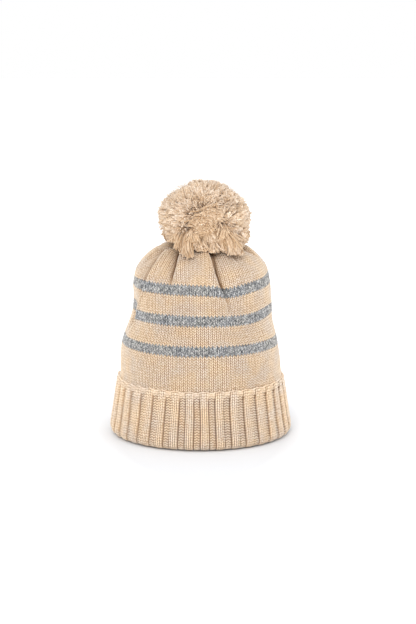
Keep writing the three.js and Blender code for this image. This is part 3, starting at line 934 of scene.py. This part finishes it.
def ball_strands():
    """Paths of the strands that fill the pom, in units of its half size.

    They rise out of the nearest hollow and lean over, so that most tips lie far from it and long sides show.
    """
    tips = unit(even_directions(STRANDS) + random.normal(0, 0.03, (STRANDS, 3)))
    clumps = unit(even_directions(CLUMPS) + random.normal(0, 0.04, (CLUMPS, 3)))
    clump = np.argmax(tips @ clumps.T, axis=1)
    tips = unit(tips + CLUMPING * (clumps[clump] - tips))
    hollows = np.array(HOLLOWS, dtype=float)
    spots = direction(hollows[:, 0], hollows[:, 1])
    angles = degrees_apart(tips @ spots.T)
    pick = np.argmin(angles - hollows[:, 3] + random.normal(0, 2.5, angles.shape), axis=1)
    away = angles[np.arange(STRANDS), pick]
    lean = hollows[pick, 2]
    kept = random.uniform(0, 1, STRANDS) < 1 - 0.9 * lean * bell(away, BARE_ANGLE)
    tips, away, lean, spot, clump = tips[kept], away[kept], lean[kept], spots[pick[kept]], clump[kept]
    count = len(tips)
    lean = lean[:, None]
    source = unit(lean * spot + (1 - lean) * tips + random.normal(0, 0.07, tips.shape))
    # the ball's shoulders are a little flat, the left one more, and it narrows low on the left
    dimple = DIMPLE * bell(away, DIMPLE_ANGLE) * lean[:, 0]
    lumps = 0.03 * np.sin(5 * tips[:, 0] + 3 * tips[:, 2] + 1) * np.cos(4 * tips[:, 1] + 2)
    shoulder = 0.08 * bell(tips[:, 2] - 0.72, 0.25) * (1 - 0.5 * tips[:, 0])
    narrow = 0.1 * np.clip(-tips[:, 0], 0, 1) * bell(tips[:, 2] + 0.3, 0.3)
    lock_reach = random.normal(0, 0.016, CLUMPS)[clump] + random.normal(0, 0.014, count)
    reach = (BALL_REACH - shoulder - narrow - dimple + lumps + lock_reach)[:, None]
    deep = random.uniform(0.55, 0.72, (count, 1))
    rising = unit(0.72 * source + 0.28 * tips)
    leaning = unit(0.36 * source + 0.64 * tips)
    off_middle = degrees_apart(np.sum(tips * clumps[clump], axis=1))
    tone_and_shade = random.normal(0.9, 0.1, CLUMPS)[clump]
    # Strands at the side of a lock are painted darker, as shade between the locks.
    tone_and_shade = tone_and_shade - LOCK_DARKNESS * np.clip(off_middle / CLUMP_ANGLE, 0, 1) ** 2
    return bezier(0.12 * source, deep * rising, 0.94 * reach * leaning, reach * tips), tone_and_shade


def filler_strands():
    tips = unit(even_directions(FILLERS) + random.normal(0, 0.04, (FILLERS, 3)))
    reach = random.uniform(0.8, 0.9, (FILLERS, 1))
    source = unit(tips + random.normal(0, 0.25, tips.shape))
    # The filler strands, deep in the gaps, are painted darker, as shade.
    return bezier(0.3 * source, 0.5 * source, 0.7 * tips, reach * tips), np.full(FILLERS, 0.8)


def tuft_strands():
    paths, tones = [], []
    for root_turn, root_up, tip_turn, tip_up, reach, spread, count in TUFTS:
        root = direction(root_turn, root_up) + random.normal(0, 0.05, (count, 3))
        scatter = random.normal(0, np.radians(spread) / 2, (count, 3))
        tip = unit(direction(tip_turn, tip_up) + scatter)
        ends = reach * random.normal(1, 0.012, (count, 1))
        between = unit(0.5 * unit(root) + 0.5 * tip)
        paths.append(bezier(0.45 * root, 0.84 * root, 0.92 * between * ends, tip * ends))
        # Each tuft's tone, partly painted shade, varied for each strand.
        tones.append(random.uniform(*TUFT_TONE_AND_SHADE) * random.uniform(0.5, 1.1, count))
    return np.concatenate(paths), np.concatenate(tones)


def pom_paths():
    ball, ball_tone_and_shade = ball_strands()
    tufts, tuft_tone_and_shade = tuft_strands()
    fillers, filler_shade = filler_strands()
    paths = np.concatenate([ball, tufts, fillers])
    count = len(paths)
    tone_and_shade = np.concatenate([ball_tone_and_shade, tuft_tone_and_shade, filler_shade])
    tone_and_shade = np.clip(tone_and_shade * random.uniform(*TONE_SPREAD, count), 0, 1)
    along = np.linspace(0, 1, STRAND_STEPS)[None, :, None]
    paths = paths * POM_HALF
    phase = random.uniform(0, FULL_TURN, (count, 1, 3))
    crimp = CRIMP * np.sin(FULL_TURN * CRIMP_WAVES * along + phase) * along
    paths = paths + crimp + random.normal(0, STRAND_JITTER, paths.shape) * along + POM_MIDDLE
    off_hinges = np.min(np.abs(paths[..., :2]), axis=-1)
    clearance = random.uniform(*CROWN_CLEARANCE, (count, 1)) + NOD_ROOM * off_hinges
    distance = np.hypot(paths[..., 0], paths[..., 1])
    raised = np.maximum(paths[..., 2], crown_height(distance) + clearance)
    paths[..., 2] = np.where(distance < CROWN_REACH, raised, paths[..., 2])
    return paths, tone_and_shade


def make_pom():
    """The pom in pieces: its upper strands, and its lower ones, which give way to the crown."""
    paths, tone_and_shade = pom_paths()
    count = len(paths)
    tips = (paths[:, -1] - POM_MIDDLE) / POM_HALF
    radius = STRAND_RADIUS * random.uniform(0.85, 1.12, (count, 1)) * np.linspace(0.85, 1.05, STRAND_STEPS)
    twists = random.uniform(0, FULL_TURN, count)
    left = tips[:, 0] + random.normal(0, 0.05, count) < 0
    front = tips[:, 1] < 0
    low = tips[:, 2] < LOW_STRANDS
    sideways = np.abs(tips[:, 0]) > np.abs(tips[:, 1])
    pieces = [
        (f"pom_strands_{half}_{side}", in_half & on_side & ~low, f"pom_{half}_half", None)
        for half, in_half in (("left", left), ("right", ~left))
        for side, on_side in (("front", front), ("back", ~front))
    ]
    pieces += [
        ("pom_lower_strands_left", left & sideways & low, "pom_left_half", "pom_sway"),
        ("pom_lower_strands_right", ~left & sideways & low, "pom_right_half", "pom_sway"),
        ("pom_lower_strands_front", front & ~sideways & low, "pom_right_half", "pom_nod"),
        ("pom_lower_strands_back", ~front & ~sideways & low, "pom_left_half", "pom_nod"),
    ]
    for name, chosen, node, joint in pieces:
        depth = np.linalg.norm((paths[chosen] - POM_MIDDLE) / POM_HALF, axis=-1)
        piece = strand_piece(name, paths[chosen], radius[chosen], node, twists[chosen], depth, tone_and_shade[chosen])
        if joint:
            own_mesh(piece)


def make_fuzz():
    """Loose fibres that stand off the pom's surface, as thin closed spikes."""
    tips = unit(random.normal(0, 1, (FIBRES * 2, 3)))
    tips = tips[tips[:, 2] > FUZZ_FROM][:FIBRES]
    count = len(tips)
    sideways = unit(np.cross(tips, random.normal(0, 1, (count, 3))))
    length = random.uniform(*FIBRE_LENGTHS, (count, 1))
    start = tips * POM_HALF * random.uniform(0.9, 0.97, (count, 1))
    middle = start + 0.5 * length * unit(tips + 0.7 * random.normal(0, 1, (count, 3)))
    end = middle + 0.5 * length * unit(tips + 0.5 * sideways + 0.7 * random.normal(0, 1, (count, 3)))
    paths = np.stack([start, middle, end], axis=1) + POM_MIDDLE
    radius = FIBRE_RADIUS * np.broadcast_to([1.0, 0.8, 0.25], (count, 3))
    left = tips[:, 0] < 0
    for half, chosen in (("left", left), ("right", ~left)):
        strand_piece(f"pom_fuzz_{half}", paths[chosen], radius[chosen], f"pom_{half}_half",
                     sides=3, dome=0.05)


def waist_strands():
    """The bundle of yarn inside the tie, squeezed a little in the middle."""
    low, high = box_of("pom_waist_strands")
    count = WAIST_STRANDS
    index = np.arange(count) + 0.5
    distance = ((high[2] - low[2]) / 2 - STRAND_RADIUS) * np.sqrt(index / count)
    around = GOLDEN_TURN * index
    along = np.linspace(0, 1, STRAND_STEPS)
    squeeze = 1 - WAIST_SQUEEZE * bell(along - 0.5, 0.2)
    x = np.broadcast_to(low[0] + (high[0] - low[0]) * along, (count, STRAND_STEPS))
    y = (distance * np.cos(around))[:, None] * squeeze + POM_MIDDLE[1]
    z = (distance * np.sin(around))[:, None] * squeeze + POM_MIDDLE[2]
    radius = np.full((count, STRAND_STEPS), STRAND_RADIUS)
    strand_piece("pom_waist_strands", np.stack([x, y, z], axis=-1), radius, "pom_waist_strands",
                 random.uniform(0, FULL_TURN, count))


KNOT_CORD = 1.7
SEAM_GAP = 0.3  # between the inside of the knitting and the seam
SEAM_RIDGE, SEAM_SHADE = 0.7, 0.55
SEAM_THREAD, THREAD_OUT, THREAD_PITCH = 0.42, 0.25, 2.3  # its radius, how far it stands off, and its lay


def ring_path(middle, radius, first, second, steps):
    angle = FULL_TURN * np.arange(steps)[:, None] / steps
    return middle + radius * (np.cos(angle) * np.array(first) + np.sin(angle) * np.array(second))


def cord_pair(name, node, body, start, end, width, steps):
    """Two straight cords side by side."""
    for side, side_name in ((-1, "left"), (1, "right")):
        path = start + (end - start) * np.linspace(0, 1, steps)[:, None]
        path[:, 1] += side * width / 2
        cord_piece(f"{name}_{side_name}", path, width / 2, (0, 1, 0), body, node, plies=2, lay=3.5)


def tie_cords():
    thick = TIE_HALF[0]
    ring = ring_path(POM_MIDDLE, TIE_HALF[2] - thick, (0, 1, 0), (0, 0, 1), 96)
    cord_piece("pom_tie_cord", ring, thick, (1, 0, 0), "pom", "pom_tie_cord", closed=True)

    low, high = box_of("pom_tie_tails")
    width = (high[1] - low[1]) / 2
    start = np.array([low[0] + width, 0, low[2] + 0.3])
    end = np.array([high[0] - width, 0, high[2] - 0.6])
    cord_pair("pom_tie_tail", "pom_tie_tails", "pom", start, end, width, 40)

    low, high = box_of("tie_cord_tether")
    start, end = np.array([0, 0, low[2]]), np.array([0, 0, high[2]])
    cord_pair("tie_cord_tether", "tie_cord_tether", "pom_tether", start, end, (high[0] - low[0]) / 2, 30)


def drawstring_and_knot():
    middle, half = middle_and_half("crown_drawstring")
    thick = half[2]
    ring = ring_path(middle, half[0] - thick, (1, 0, 0), (0, 1, 0), 120)
    cord_piece("crown_drawstring", ring, thick, (0, 0, 1), "knit_body", "crown_drawstring", closed=True,
               plies=2, lay=3.0)

    middle, half = middle_and_half("tie_cord_knot")
    wide, _, tall = half - KNOT_CORD
    angle = FULL_TURN * np.arange(160) / 160
    across = (np.sin(angle) + 2 * np.sin(2 * angle)) / 3 * wide
    depth = (np.cos(angle) - 2 * np.cos(2 * angle)) / 3 * wide
    trefoil = middle + np.stack([across, depth, -np.sin(3 * angle) * tall], axis=-1)
    cord_piece("tie_cord_knot", trefoil, KNOT_CORD, (0, 0, 1), "pom_knot", "tie_cord_knot", closed=True)


def seam_points(along, lift, across):
    points, _ = lifted_from(wall_point, np.full_like(along, np.pi), along, lift)
    points[..., 0] += across
    return points


def back_seam():
    """Overlocked seam up the inside of the back: a padded ridge wound round with thread."""
    low, high = box_of("back_seam")
    start, end = wall_at_height(low[2] + 1), wall_at_height(high[2] - 1)
    ridge_wide = (high[0] - low[0]) / 2 - 0.5
    inside = -STITCH_RELIEF - FABRIC - SEAM_GAP

    rows, sides = 60, 14
    around = FULL_TURN * np.arange(sides) / sides
    along_grid, around_grid = np.meshgrid(np.linspace(start, end, rows), around, indexing="ij")
    taper = np.sqrt(np.clip(1 - np.abs(np.linspace(-1, 1, rows)) ** 12, 0.02, 1))[:, None]
    points = seam_points(along_grid, inside - SEAM_RIDGE * (1 - np.sin(around_grid) * taper),
                         -ridge_wide * np.cos(around_grid) * taper)
    points = np.concatenate([points.reshape(-1, 3), [points[0].mean(axis=0), points[-1].mean(axis=0)]])
    add_piece("back_seam", points, capped_tube_faces(rows, sides), cord_yarn,
              np.full(len(points), SEAM_SHADE), "knit_body", "back_seam")

    loops = round((end - start) / THREAD_PITCH)
    steps = loops * 14
    angle = FULL_TURN * loops * np.arange(steps) / steps
    along = start + (end - start) * np.arange(steps) / steps
    thread = seam_points(along, inside - SEAM_RIDGE + (SEAM_RIDGE + THREAD_OUT) * np.sin(angle),
                         -(ridge_wide + THREAD_OUT) * np.cos(angle))
    cord_piece("back_seam_overlock_thread", thread, SEAM_THREAD, (0, 0.05, 1), "knit_body", "back_seam",
               plies=2, lay=2.0, sides=5)


make_pom()
make_fuzz()
waist_strands()
tie_cords()
drawstring_and_knot()
back_seam()
